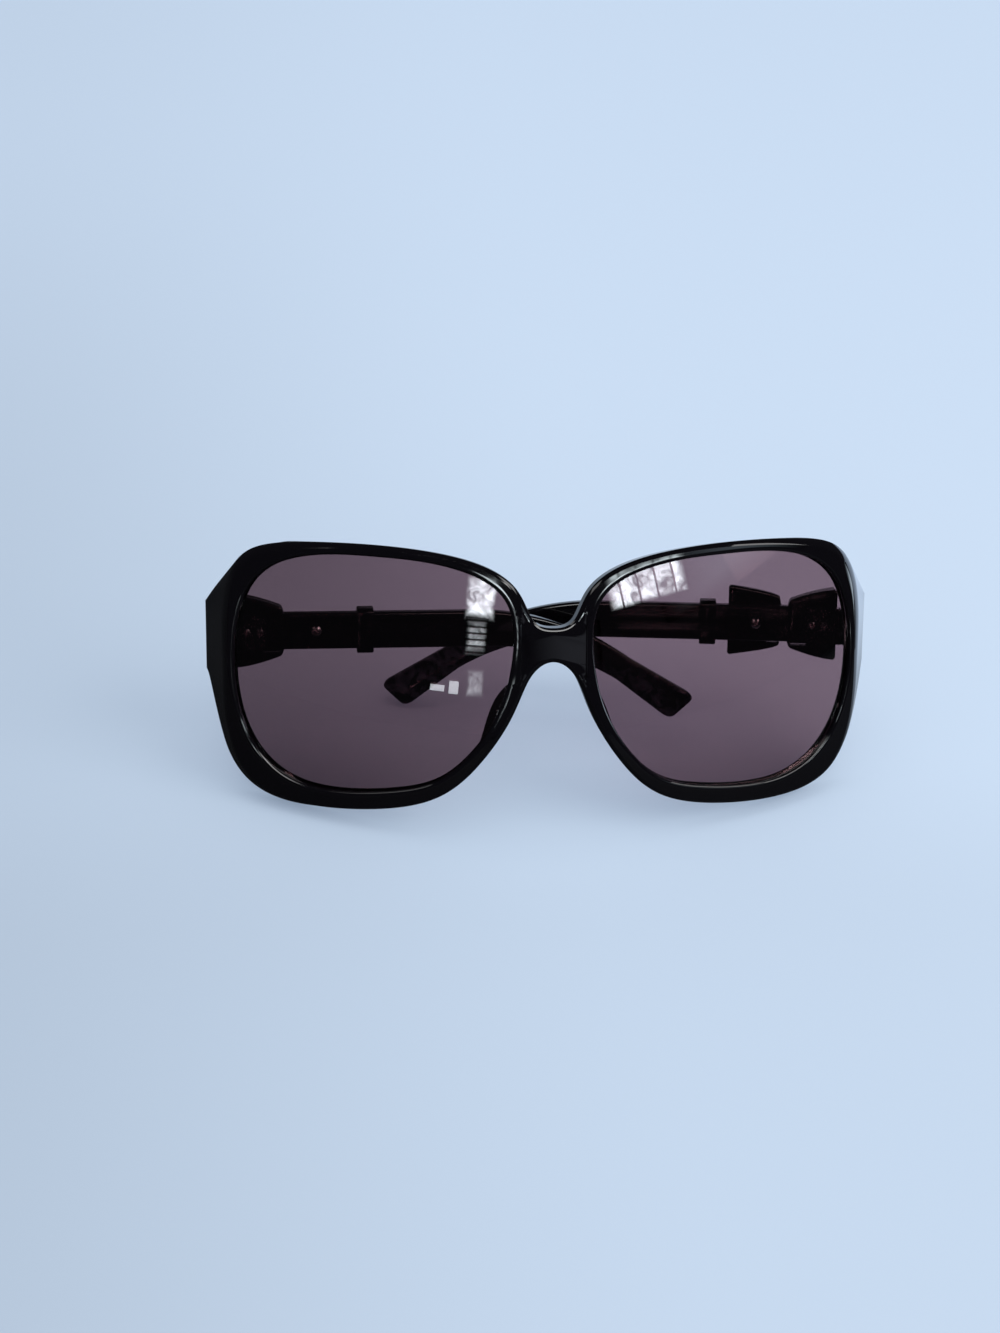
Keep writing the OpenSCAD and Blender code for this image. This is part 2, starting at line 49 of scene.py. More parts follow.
weld, fineWeld = 2e-6, 1e-7  # points closer than this are joined, in metres

# Shapes are worked out in millimetres in the upright front: x to the side, y back, z up.
# A list of shares runs once round the rim or the lens, and 1 is half the opening's size.
front = {
    "lensWidth": 58, "lensHeight": 51.2, "bridge": 16.6, "lensDrop": 1.8,
    "rimSide": 3.2, "rimBand": 3.1, "depth": 4.2, "ball": 145,
    "faceBevel": 0.9, "lensBevel": 0.7, "backBevel": 0.4, "wallBevelShare": 0.8,
    "grooveFront": 1.1, "grooveBack": 3.1, "grooveFloor": 0.85,
    "lipOut": 0.2, "lipHeight": 0.3, "lipBevel": 0.8, "flare": 2.4,
    "lugLength": 11.2, "lugOut": 2.6, "lugThick": 4.5, "lugHeight": 15.8,
    "lugFrom": 8.75, "lugTo": 10, "lugTail": 1.25, "lugFlare": 1.75,
    "stepsPerSpan": 16, "middleSteps": 8, "outlineSteps": 360,
    "edgeRound": 0.16, "roundSteps": 4, "outerRound": 0.25, "lensRound": 0.9,
    "insetHalf": 6.7, "insetDeep": 0.25, "insetWall": 0.2, "insetFade": 1.5,
    "archShare": 0.185, "bridgeTopShare": 0.387,
    "rimShares": [
        [-0.997, 0.06], [-0.916, -0.265], [-0.70, -0.65], [-0.43, -0.962], [0.03, -1.046],
        [0.506, -1.042], [0.86, -0.905], [1.0, -0.43], [1.0, 0.115], [1.006, 0.54],
        [0.875, 0.92], [0.481, 0.976], [-0.068, 0.983], [-0.634, 0.902], [-0.953, 0.704],
        [-1.009, 0.408]],
    "lensShares": [
        [-1.00, 0.10], [-0.88, -0.39], [-0.54, -0.89], [-0.19, -1.00], [0.56, -1.06],
        [0.94, -0.62], [1.03, 0.06], [0.93, 0.80], [0.46, 1.01], [-0.05, 0.99],
        [-0.49, 0.96], [-1.02, 0.74]],
    "flareShares": [0, 0, 0, 0, 0.1, 0.4, 0.9, 1.1, 1.1, 1, 0.8, 0.3, 0, 0, 0, 0, 0, 0],
    "bevelShares": [1, 1, 1, 1, 1, 1, 1, 1.3, 1.9, 2.5, 2.8, 2.4, 1.5, 1, 1, 1, 1, 1],
}
hinge = {"knuckle": 1.2, "bodyGap": 0.3, "knuckleHeight": 2.4, "knuckleGap": 0.1,
         "leafThick": 0.8, "leafLength": 5.6, "frontLeafLength": 4.7}
temple = {
    "straight": 54, "bendRadius": 56, "bendDrop": 34, "tip": 16, "tipSlant": 14,
    "strapHeight": 8, "waistHeight": 5.5, "tipHeight": 7.2, "strapThick": 3,
    "knotHeight": 11, "bowFront": 10.6, "bowRear": 11.3, "bowRearThick": 2.2, "knotGap": 2,
    "bowPower": 1.5, "rearThinShare": 0.85, "rearCrownShare": 0.3,
    "noseHeight": 6.8, "noseThick": 1.7, "butt": 0.3, "buttBevel": 0.4, "buttSlant": 6,
    "edge": 0.7, "level": 2.9, "slitHeight": 0.55, "slitLength": 3.8, "rearSlitShare": 0.6,
    "cornerSteps": 5, "bowSteps": 20, "rearSteps": 18, "strapSteps": 4, "bendSteps": 24,
    # How far before the tip's end, and how much of the height is rounded away there
    "tipShares": [(0.28, 0), (0.19, 0.012), (0.11, 0.045), (0.05, 0.11), (0.015, 0.19),
                  (0, 0.28)],
    "fold": {"right": 0.5, "left": 9.5},
}


def ballDepth(x, z):
    return front["ball"] - math.sqrt(front["ball"] ** 2 - x * x - z * z)


lensMiddle = Vector((front["bridge"] / 2 + front["lensWidth"] / 2, -front["lensDrop"]))
halfWidth = front["bridge"] / 2 + front["lensWidth"] + front["rimSide"]
lugX = halfWidth + front["lugOut"]
lugY = ballDepth(halfWidth, 0) + front["lugLength"]
axisIn = hinge["knuckle"] + hinge["bodyGap"]
axisX = lugX - front["lugThick"] - axisIn
axisY = lugY + hinge["bodyGap"] / 2

# The frame's own hinge says how far back the glasses lean and where they stand
hingeTurn = Vector(joints["right_temple_hinge"]["axis"])
lean = math.atan2(hingeTurn.y, hingeTurn.z)
turnBack = Matrix.Rotation(-lean, 4, "X")
stand = (Matrix.Translation(Vector(joints["left_temple_hinge"]["pos_m"])) @ turnBack
         @ Matrix.Scale(mm, 4) @ Matrix.Translation((-axisX, -axisY, -temple["level"])))
mirrorX = Matrix.Scale(-1, 4, (1, 0, 0))


def atHinge(side):
    flip = Matrix() if side == "right" else mirrorX
    return stand @ flip @ Matrix.Translation((-axisX, axisY, temple["level"]))


def atSide(side):  # place of a temple piece, drawn along x from its hinge
    return atHinge(side) @ Matrix.Rotation(math.radians(temple["fold"][side]), 4, "Z")


def atEnd(side):  # the same for what is screwed to an end piece
    return atHinge(side) @ mirrorX @ Matrix.Rotation(math.radians(-90), 4, "Z")


# Curves
def blend4(a, b, c, d, f):
    return (a * (1 - f) ** 3 + b * (3 * f ** 3 - 6 * f * f + 4)
            + c * (-3 * f ** 3 + 3 * f * f + 3 * f + 1) + d * f ** 3) / 6


def openValue(points, t):
    k = min(int(t), len(points) - 4)
    return blend4(*points[k:k + 4], t - k)


def shellPoint(p, depth):  # a point of the face, moved towards the middle of the ball
    k = 1 - depth / front["ball"]
    return Vector((p[0] * k, ballDepth(p[0], p[1]) * k + depth, p[1] * k))


def lensOutline():
    shares, count, raw = front["lensShares"], front["outlineSteps"], []
    for i in range(count):
        t = i * len(shares) / count
        corners = [Vector(shares[(int(t) + j - 1) % len(shares)]) for j in range(4)]
        raw.append(blend4(*corners, t - int(t)))
    lowX, highX = min(p.x for p in raw), max(p.x for p in raw)
    lowZ, highZ = min(p.y for p in raw), max(p.y for p in raw)
    return [Vector((front["lensWidth"] * ((p.x - lowX) / (highX - lowX) - 0.5),
                    front["lensHeight"] * ((p.y - lowZ) / (highZ - lowZ) - 0.5))) for p in raw]


lensPolar = sorted((math.atan2(p.y, p.x), p.length) for p in lensOutline())
lensPolar = [(a + turn * 2 * math.pi, r) for turn in (-1, 0, 1) for a, r in lensPolar]
lensAngles = [a for a, r in lensPolar]


def lensAt(angle, grow=0.0):
    low, high = 0, len(lensAngles) - 1
    while high - low > 1:
        middle = (low + high) // 2
        low, high = (middle, high) if lensAngles[middle] <= angle else (low, middle)
    share = (angle - lensAngles[low]) / (lensAngles[high] - lensAngles[low])
    r = lensPolar[low][1] * (1 - share) + lensPolar[high][1] * share + grow
    return lensMiddle + Vector((r * math.cos(angle), r * math.sin(angle)))


def rimControl():
    growX = front["lensWidth"] / 2 + front["rimSide"]
    growZ = front["lensHeight"] / 2 + front["rimBand"]
    ring = [lensMiddle + Vector((x * growX, z * growZ)) for x, z in front["rimShares"]]
    arch = Vector((0, lensMiddle.y + front["archShare"] * growZ))
    top = Vector((0, lensMiddle.y + front["bridgeTopShare"] * growZ))
    ends = [Vector((-p.x, p.y)) for p in (ring[0], ring[-1])]
    return [ends[0], arch] + ring + [top, ends[1]]


rimPoints = rimControl()
spans = len(rimPoints) - 3
bevelPoints, flarePoints = ([shares[1]] + shares + [shares[-2]]
                            for shares in (front["bevelShares"], front["flareShares"]))


# Meshes
def cleanMesh(mesh, distance=None):  # joins close points and turns all faces outwards
    work = bmesh.new()
    work.from_mesh(mesh)
    if distance:
        bmesh.ops.remove_doubles(work, verts=work.verts, dist=distance)
    bmesh.ops.recalc_face_normals(work, faces=work.faces)
    work.to_mesh(mesh)
    work.free()


def newObject(name, points, faces):
    mesh = bpy.data.meshes.new(name)
    mesh.from_pydata(points, [], faces)
    obj = bpy.data.objects.new(name, mesh)
    bpy.context.scene.collection.objects.link(obj)
    return obj


def makePiece(name, points, faces, place, *dress, **more):
    obj = newObject(name, [place @ Vector(p) for p in points], faces)
    cleanMesh(obj.data, weld)
    return dressPiece(obj, *dress, **more)


def dressPiece(obj, material, body, nodeNames, sharp=30):
    obj.data.materials.clear()
    obj.data.materials.append(material)
    obj.data.shade_smooth()
    obj.data.set_sharp_from_angle(angle=math.radians(sharp))
    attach(obj, body)
    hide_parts(*nodeNames)
    return obj


def loft(name, rings, *dress, **more):  # a skin over rings of points, closed at both ends
    count, around = len(rings), len(rings[0])
    faces = [(i * around + j, (i + 1) * around + j, (i + 1) * around + (j + 1) % around,
              i * around + (j + 1) % around) for i in range(count - 1) for j in range(around)]
    faces += [tuple(range(around)),
              tuple((count - 1) * around + j for j in reversed(range(around)))]
    return makePiece(name, [p for ring in rings for p in ring], faces, *dress, **more)


def softenEdges(obj, width, segments=3, angle=25):
    bevel = obj.modifiers.new("softEdges", "BEVEL")
    bevel.width = width * mm
    bevel.segments = segments
    bevel.limit_method = "ANGLE"
    bevel.angle_limit = math.radians(angle)
    bevel.harden_normals = True


def keepResult(obj):  # the evaluated mesh takes the place of the object's modifiers
    graph = bpy.context.evaluated_depsgraph_get()
    result = bpy.data.meshes.new_from_object(obj.evaluated_get(graph))
    obj.modifiers.clear()
    obj.data = result


# Node trees
def wire(tree, node, inputs):  # gives each named input its value, or its link
    for title, value in inputs.items():
        if isinstance(value, bpy.types.NodeSocket):
            tree.links.new(value, node.inputs[title])
        else:
            node.inputs[title].default_value = value


def addNode(tree, kind, inputs=None, **settings):
    node = tree.nodes.new(kind)
    for name, value in settings.items():
        setattr(node, name, value)
    wire(tree, node, inputs or {})
    return node


def mathNode(tree, operation, first, second=0):
    node = addNode(tree, "ShaderNodeMath", {0: first, 1: second}, operation=operation)
    return node.outputs["Value"]


def objectPlace(tree):
    return addNode(tree, "ShaderNodeTexCoord").outputs["Object"]


def colourRamp(tree, factor, low, high):
    ramp = addNode(tree, "ShaderNodeValToRGB", {"Fac": factor})
    for element, colour in zip(ramp.color_ramp.elements, (low, high)):
        element.color = (*colour, 1)
    return ramp.outputs["Color"]


def numberInputs(tree, inputs):
    for title, value in inputs.items():
        tree.interface.new_socket(title, in_out="INPUT",
                                  socket_type="NodeSocketFloat").default_value = value


def shaderGroup(name, inputs, output):
    tree = bpy.data.node_groups.new(name, "ShaderNodeTree")
    numberInputs(tree, inputs)
    tree.interface.new_socket(output, in_out="OUTPUT", socket_type="NodeSocketFloat")
    return tree, addNode(tree, "NodeGroupInput"), addNode(tree, "NodeGroupOutput")


# Materials
finish = {
    "black": (0.0022, 0.0018, 0.0026), "blackSmears": {"Scale": 90, "Gloss": 0.045, "Dull": 0.12},
    # The temples' lighter patches low down are dust and a painted highlight
    "dustAndHighlight": (0.06, 0.0552, 0.072), "dustAndHighlightPlace": {"Clear Above": 0.022, "Full Below": 0.012},
    "dustAndHighlightScale": 250, "tint": (0.242, 0.148, 0.164),
    "tintSmears": {"Scale": 60, "Gloss": 0.0, "Dull": 0.02}, "lightBend": 1.5,
    "steel": (0.62, 0.60, 0.60), "darkSteel": (0.07, 0.068, 0.07),
    "steelSmears": {"Scale": 500, "Gloss": 0.22, "Dull": 0.38},
    "brush": {"Across": 9000, "Along": 400}, "brushStrength": 0.12, "brushDepth": 0.05,
}


def smearGroup():  # faint handling marks on polished pieces, as a roughness
    tree, given, result = shaderGroup("handlingSmears", finish["blackSmears"], "Roughness")
    smear = addNode(tree, "ShaderNodeTexNoise", {
        "Vector": objectPlace(tree), "Scale": given.outputs["Scale"], "Detail": 5,
        "Distortion": 0.8})
    spread = addNode(tree, "ShaderNodeMapRange", {
        "Value": smear.outputs["Fac"], "From Min": 0.5, "From Max": 0.8,
        "To Min": given.outputs["Gloss"], "To Max": given.outputs["Dull"]})
    wire(tree, result, {"Roughness": spread.outputs["Result"]})
    return tree


def brushGroup():  # fine lines of turned and stamped steel, as a height
    tree, given, result = shaderGroup("brushLines", finish["brush"], "Height")
    along, across = given.outputs["Along"], given.outputs["Across"]
    stretch = addNode(tree, "ShaderNodeCombineXYZ", {"X": along, "Y": along, "Z": across})
    stretched = addNode(tree, "ShaderNodeVectorMath", {
        0: objectPlace(tree), 1: stretch.outputs["Vector"]}, operation="MULTIPLY")
    lines = addNode(tree, "ShaderNodeTexNoise", {
        "Vector": stretched.outputs["Vector"], "Scale": 1, "Detail": 3})
    wire(tree, result, {"Height": lines.outputs["Fac"]})
    return tree


def dustAndHighlightGroup():  # lighter patches low on the glasses, as a mask: dust, and a painted highlight on the temple tips
    tree, given, result = shaderGroup(
        "dustAndHighlightMask", {"Scale": finish["dustAndHighlightScale"], **finish["dustAndHighlightPlace"]}, "Mask")
    place = objectPlace(tree)
    split = addNode(tree, "ShaderNodeSeparateXYZ", {"Vector": place})
    low = addNode(tree, "ShaderNodeMapRange", {
        "Value": split.outputs["Z"], "From Min": given.outputs["Clear Above"],
        "From Max": given.outputs["Full Below"]}, interpolation_type="SMOOTHSTEP")
    spots = addNode(tree, "ShaderNodeTexNoise", {
        "Vector": place, "Scale": given.outputs["Scale"], "Detail": 4, "Distortion": 1.5})
    patches = addNode(tree, "ShaderNodeMapRange", {
        "Value": spots.outputs["Fac"], "From Min": 0.42, "From Max": 0.68})
    wire(tree, result, {"Mask": mathNode(tree, "MULTIPLY", low.outputs["Result"],
                                         patches.outputs["Result"])})
    return tree


smears, brushLines, dustAndHighlightMask = smearGroup(), brushGroup(), dustAndHighlightGroup()


def newMaterial(name):
    material = bpy.data.materials.new(name)
    material.use_nodes = True
    return material, material.node_tree, material.node_tree.nodes["Principled BSDF"]


def polishedBlack(name, dustAndHighlight=None):  # the last argument is the colour of lighter patches low on the piece, dust with a painted highlight
    material, tree, shader = newMaterial(name)
    marks = addNode(tree, "ShaderNodeGroup", finish["blackSmears"], node_tree=smears)
    wire(tree, shader, {"Base Color": (*finish["black"], 1), "IOR": finish["lightBend"],
                        "Roughness": marks.outputs["Roughness"]})
    if dustAndHighlight:
        patches = addNode(tree, "ShaderNodeGroup", finish["dustAndHighlightPlace"], node_tree=dustAndHighlightMask)
        colour = colourRamp(tree, patches.outputs["Mask"], finish["black"], dustAndHighlight)
        wire(tree, shader, {"Base Color": colour})
    return material


def tintedLens():
    material, tree, shader = newMaterial("tintedLens")
    marks = addNode(tree, "ShaderNodeGroup", finish["tintSmears"], node_tree=smears)
    wire(tree, shader, {
        "Base Color": (*finish["tint"], 1), "Transmission Weight": 1,
        "IOR": finish["lightBend"], "Roughness": marks.outputs["Roughness"]})
    return material


def brushedSteel(name, colour):
    material, tree, shader = newMaterial(name)
    marks = addNode(tree, "ShaderNodeGroup", finish["steelSmears"], node_tree=smears)
    lines = addNode(tree, "ShaderNodeGroup", finish["brush"], node_tree=brushLines)
    bump = addNode(tree, "ShaderNodeBump", {
        "Strength": finish["brushStrength"], "Distance": finish["brushDepth"] * mm,
        "Height": lines.outputs["Height"]})
    wire(tree, shader, {"Base Color": (*colour, 1), "Metallic": 1,
                        "Roughness": marks.outputs["Roughness"],
                        "Normal": bump.outputs["Normal"]})
    return material


black = polishedBlack("polishedBlack")
templeBlack = polishedBlack("dustAndHighlightBlack", finish["dustAndHighlight"])
tint = tintedLens()
steel = brushedSteel("brushedSteel", finish["steel"])
darkSteel = brushedSteel("darkSteel", finish["darkSteel"])
bySlot = {"gloss_black": black, "tinted_lens": tint, "steel": steel}
for name, node in nodes.items():
    node.data.materials.clear()
    node.data.materials.append(darkSteel if name.endswith("leaf") else bySlot[recordSlot[name]])
print("materials ready")


# The front: one skin round both openings, drawn as a half and its mirror image
def rimStations():
    steps = front["stepsPerSpan"]
    count = spans * steps + 1
    stations, nudge = [], 1 / (8 * steps)
    for i in range(count):
        t = i / steps
        p = openValue(rimPoints, t)
        q = openValue(rimPoints, min(t + nudge, spans)) - openValue(rimPoints, max(t - nudge, 0))
        inward = (Vector((0, 1)) if i == 0 else Vector((0, -1)) if i == count - 1
                  else Vector((-q.y, q.x)).normalized())
        stations.append((p, inward, front["faceBevel"] * openValue(bevelPoints, t), t))
    low = stations[0][0].y + front["faceBevel"]
    high = stations[-1][0].y - front["faceBevel"]
    for i in range(front["middleSteps"]):
        share = (i + 1) / (front["middleSteps"] + 1)
        stations.append((Vector((0, high + share * (low - high))), Vector((0, 0)), 0, -1))
    return stations, count


def rounded(start, corner, end, fullness):  # an edge from flat (0) to fully round (1)
    steps = front["roundSteps"] + 1
    corner = ((start + end) / 2).lerp(corner, fullness)
    return [start * (1 - i / steps) ** 2 + corner * (2 * i / steps * (1 - i / steps))
            + end * (i / steps) ** 2 for i in range(steps + 1)]


def faceSpan(outer, inner):  # the face from its outer bevel to the lens, sunk on the bridge
    half = front["insetHalf"]
    shares, depths = (1 / 3, 2 / 3), (0, 0, 0)
    if outer.x < half < inner.x:
        width = inner.x - outer.x
        shares = ((half - outer.x) / width, (half - outer.x + front["insetWall"]) / width)
        deep = front["insetDeep"] * min(1, (half - outer.x) / front["insetFade"])
        depths = (deep, deep, 0)
    places = [outer] + [outer.lerp(inner, share) for share in shares]
    return [shellPoint(p, depth) for p, depth in zip(places, depths)]


def rimSection(outside, inward, bevel, t):
    offset = outside - lensMiddle
    angle = math.atan2(offset.y, offset.x)
    depth, back = front["depth"], front["backBevel"]
    start, end = front["lugFrom"], front["lugTo"]
    held = min(max(t, start), end)
    share = (held - start) / (end - start)
    reach = front["lugTail"] if t < held else front["lugFlare"]
    grown = max(0, 1 - abs(t - held) / reach) if t >= 0 else 0
    grown = grown * grown * (3 - 2 * grown)
    flared = outside - inward * (front["flare"] * openValue(flarePoints, t) if t >= 0 else 0)
    lugZ = (temple["level"] + front["lugHeight"] * (share - 0.5)
            * (1 - 2 * back / front["lugHeight"]))
    foot = shellPoint(outside, depth).y
    inner, lip = lensAt(angle), lensAt(angle, front["lipOut"])
    groove = lensAt(angle, front["grooveFloor"])
    wall = [shellPoint(flared, depth - back), shellPoint(flared + inward * back, depth),
            shellPoint(flared + inward * 2 * back, depth)]
    lug = [Vector((lugX, lugY, lugZ)), Vector((lugX - front["lugThick"], lugY, lugZ)),
           Vector((lugX - front["lugThick"], foot, lugZ))]
    face = faceSpan(outside + inward * bevel, lensAt(angle, front["lensBevel"]))
    bevelFoot = min(bevel, depth / 2) * front["wallBevelShare"]
    return (rounded(face[0], shellPoint(outside, 0), shellPoint(outside, bevelFoot),
                    front["outerRound"])
            + [a.lerp(b, grown) for a, b in zip(wall, lug)]
            + [shellPoint(lensAt(angle, front["lipBevel"]), depth),
               shellPoint(lip, front["grooveBack"] + front["lipHeight"]),
               shellPoint(lip, front["grooveBack"]), shellPoint(groove, front["grooveBack"]),
               shellPoint(groove, front["grooveFront"]), shellPoint(inner, front["grooveFront"])]
            + rounded(shellPoint(inner, front["lensBevel"]), shellPoint(inner, 0),
                      shellPoint(lensAt(angle, front["lensBevel"]), 0), front["lensRound"])
            + [face[2], face[1]])


def buildFront():
    stations, outerCount = rimStations()
    rings = [rimSection(*station) for station in stations]
    n, m = len(rings), len(rings[0])
    wallEdges = front["roundSteps"] + 4  # edges of a section that make the outside wall
    points = [p for ring in rings for p in ring]
    faces = []
    for i in range(n):
        for j in range(m):
            if i >= outerCount - 1 and j < wallEdges:
                continue  # the outside wall would be inside the bridge here
            a, b = i * m, (i + 1) % n * m
            faces.append((a + j, b + j, b + (j + 1) % m, a + (j + 1) % m))
    points += [Vector((-p.x, p.y, p.z)) for p in points]
    faces += [tuple(k + n * m for k in reversed(face)) for face in faces]
    obj = makePiece("frontMoulding", points, faces, stand, black, "front", ["front_frame"])
    softenEdges(obj, front["edgeRound"])


lens = {"front": 1.2, "thick": 1.8, "seat": 0.5, "rings": 20, "around": 144}


def buildLens(side):
    flip = 1 if side == "left" else -1
    around, rings = lens["around"], lens["rings"]
    points, faces = [], []
    for depth in (lens["front"], lens["front"] + lens["thick"]):
        points.append(shellPoint(lensMiddle, depth))
        for i in range(1, rings + 1):
            for j in range(around):
                rim = lensAt(2 * math.pi * j / around - math.pi, lens["seat"])
                points.append(shellPoint(lensMiddle.lerp(rim, i / rings), depth))
    count = 1 + rings * around
    for base in (0, count):
        for j in range(around):
            k = (j + 1) % around
            faces.append((base, base + 1 + j, base + 1 + k))
            for i in range(rings - 1):
                a, b = base + 1 + i * around, base + 1 + (i + 1) * around
                faces.append((a + j, b + j, b + k, a + k))
    edge = 1 + (rings - 1) * around
    for j in range(around):
        k = (j + 1) % around
        faces.append((edge + j, edge + k, count + edge + k, count + edge + j))
    points = [Vector((p.x * flip, p.y, p.z)) for p in points]
    makePiece(side + "Lens", points, faces, stand, tint, "front", [side + "_lens"])


pad = {"from": 1.15, "to": 2.85, "rise": 4.4, "lean": 2.6, "edge": 0.4, "endShare": 0.2,
       "along": 40, "across": 14}


def buildPad(side):
    flip = 1 if side == "left" else -1
    rings = []
    for i in range(pad["along"] + 1):
        share = i / pad["along"]
        outside = openValue(rimPoints, pad["from"] + (pad["to"] - pad["from"]) * share)
        offset = outside - lensMiddle
        inner = lensAt(math.atan2(offset.y, offset.x), front["lipBevel"])
        across = (inner - outside).normalized()
        outer = outside + pad["edge"] * across
        swell = pad["endShare"] + (1 - pad["endShare"]) * math.sin(math.pi * share)
        ring = []
        for j in range(pad["across"] + 1):
            u = j / pad["across"]
            s = swell * math.sin(math.pi * u)
            p = shellPoint(outer + u * (inner - outer) + across * pad["lean"] * s,
                           front["depth"] + fitGap + pad["rise"] * s)
            ring.append(Vector((p.x * flip, p.y, p.z)))
        rings.append(ring)
    loft(side + "NosePad", rings, stand, black, "front", [side + "_nose_pad"], sharp=50)


buildFront()
for side in ("right", "left"):
    buildLens(side)
    buildPad(side)
print("front, lenses and pads made")


# Temples, drawn along x from the hinge axis with the inner face at y = axisIn
def strapRing(s, h, slope, height, thick, base=axisIn):
    edge = min(temple["edge"], height / 2, thick / 2)
    ring = []
    for up, across, start in ((1, 1, 0), (-1, 1, 90), (-1, -1, 180), (1, -1, 270)):
        for i in range(temple["cornerSteps"] + 1):
            turn = math.radians(start + 90 * i / temple["cornerSteps"])
            v = up * (height / 2 - edge) + edge * math.cos(turn)
            w = base + thick / 2 + across * (thick / 2 - edge) + edge * math.sin(turn)
            ring.append(Vector((s + v * math.sin(slope), w, h + v * math.cos(slope))))
    return ring


def slanted(ring):
    slope = math.tan(math.radians(temple["buttSlant"]))
    return [p + Vector(((p.y - axisIn) * slope, 0, 0)) for p in ring]


def bowRings(t):  # from the end piece to the knot, and down to the strap behind it
    lugHeight, lugThick = front["lugHeight"], front["lugThick"]
    start = t["butt"] + t["buttBevel"]
    length = t["bowFront"] - t["butt"] - 2 * t["buttBevel"]
    rings = [slanted(strapRing(t["butt"], 0, 0, lugHeight - 2 * t["buttBevel"],
                               lugThick - t["buttBevel"])),
             slanted(strapRing(start, 0, 0, lugHeight, lugThick))]
    clear = 3  # the first step that the slanted end doesn't reach
    for i in range(clear, t["bowSteps"] + 1):
        f = i / t["bowSteps"]
        rings.append(strapRing(start + f * length, 0, 0,
                               lugHeight + (t["knotHeight"] - lugHeight) * f ** t["bowPower"],
                               lugThick - (lugThick - t["strapThick"]) * f / 2))
    rings.append(strapRing(t["bowFront"], 0, 0, t["knotHeight"] - 2 * t["buttBevel"],
                           (lugThick + t["strapThick"]) / 2 - t["buttBevel"] / 2))
    rings.append(strapRing(t["bowFront"] + t["buttBevel"], 0, 0, t["strapHeight"],
                           t["strapThick"]))
    return rings


def bendRings(t):  # the strap, the ear bend and the slanted tip
    drop, slant, r = math.radians(t["bendDrop"]), math.radians(t["tipSlant"]), t["bendRadius"]
    rings = []
    for i in range(1, t["strapSteps"]):
        s = t["bowFront"] + i / t["strapSteps"] * (t["straight"] - t["bowFront"])
        rings.append(strapRing(s, 0, 0, t["strapHeight"], t["strapThick"]))
    for i in range(t["bendSteps"] + 1):
        share = i / t["bendSteps"]
        a = drop * share
        height = t["strapHeight"] + (t["waistHeight"] - t["strapHeight"]) * share
        rings.append(strapRing(t["straight"] + r * math.sin(a), -r * (1 - math.cos(a)), a,
                               height, t["strapThick"]))
    for back, loss in t["tipShares"]:
        reach = t["tip"] - back * t["tipHeight"]
        s = t["straight"] + r * math.sin(drop) + reach * math.cos(drop)
        h = -r * (1 - math.cos(drop)) - reach * math.sin(drop)
        rings.append(strapRing(s, h, drop + slant, t["tipHeight"] * (1 - loss) / math.cos(slant),
                               t["strapThick"] - t["tipHeight"] * loss / 4))
    return rings


def cutBox(obj, low, high, place):  # a slit through a piece
    points = [(x, y, z) for x in (low[0], high[0]) for y in (low[1], high[1])
              for z in (low[2], high[2])]
    faces = [(0, 1, 3, 2), (4, 6, 7, 5), (0, 4, 5, 1), (2, 3, 7, 6), (0, 2, 6, 4), (1, 5, 7, 3)]
    cutter = newObject("cutter", [place @ Vector(p) for p in points], faces)
    cleanMesh(cutter.data)
    cut = obj.modifiers.new("slit", "BOOLEAN")
    cut.object = cutter
    cut.solver = "EXACT"
    keepResult(obj)
    bpy.data.objects.remove(cutter)


def buildArm(side):
    place = atSide(side)
    obj = loft(side + "TempleStrap", bowRings(temple) + bendRings(temple), place, templeBlack,
               side + "_temple", [side + "_temple_arm"], sharp=40)
    slit = temple["strapHeight"] / 2 + temple["slitHeight"] / 2 + 3 * fitGap
    end = temple["bowFront"] - temple["buttBevel"]
    cutBox(obj, (end - temple["slitLength"], -overrun, -slit - temple["slitHeight"] / 2),
           (end, axisIn + front["lugThick"] + overrun, -slit + temple["slitHeight"] / 2), place)


def buildRearHalf(t):
    base = axisIn + t["strapThick"] + fitGap
    start = t["bowFront"] + t["knotGap"]
    rings = [strapRing(s, 0, 0, t["noseHeight"], t["noseThick"], base)
             for s in (t["bowFront"] + t["buttBevel"] + 2 * fitGap, start - t["buttBevel"])]
    for i in range(t["rearSteps"] + 1):
        f = i / t["rearSteps"]
        crown = t["rearThinShare"] + t["rearCrownShare"] * math.sin(math.pi * f)
        rings.append(strapRing(start + f * (t["bowRear"] - t["buttBevel"]), 0, 0,
                               t["knotHeight"] + (front["lugHeight"] - t["knotHeight"])
                               * f ** (1 / t["bowPower"]), t["bowRearThick"] * crown, base))
    rings.append(strapRing(start + t["bowRear"], 0, 0, front["lugHeight"] - 2 * t["buttBevel"],
                           t["bowRearThick"] * t["rearThinShare"] - t["buttBevel"] / 2, base))
    place = atSide("left")
    obj = loft("leftBowRear", rings, place, black, "left_temple", ["left_bow_rear_half"],
               sharp=40)
    slit = t["strapHeight"] / 2 + t["slitHeight"] + 3 * fitGap
    near = start + t["buttBevel"]
    cutBox(obj, (near, -overrun, -slit),
           (near + t["slitLength"] * t["rearSlitShare"], base + 2 * t["bowRearThick"],
            -slit + t["slitHeight"]), place)


for side in ("right", "left"):
    buildArm(side)
buildRearHalf(temple)
print("temples made")


# Small repeated pieces by Geometry Nodes
def geometryTree(name, inputs):  # the geometry has to be a modifier's first input
    tree = bpy.data.node_groups.new(name, "GeometryNodeTree")
    for way in ("INPUT", "OUTPUT"):
        tree.interface.new_socket("Geometry", in_out=way, socket_type="NodeSocketGeometry")
    numberInputs(tree, inputs)
    tree.interface.new_socket("Material", in_out="INPUT", socket_type="NodeSocketMaterial")
    return tree, addNode(tree, "NodeGroupInput"), addNode(tree, "NodeGroupOutput")


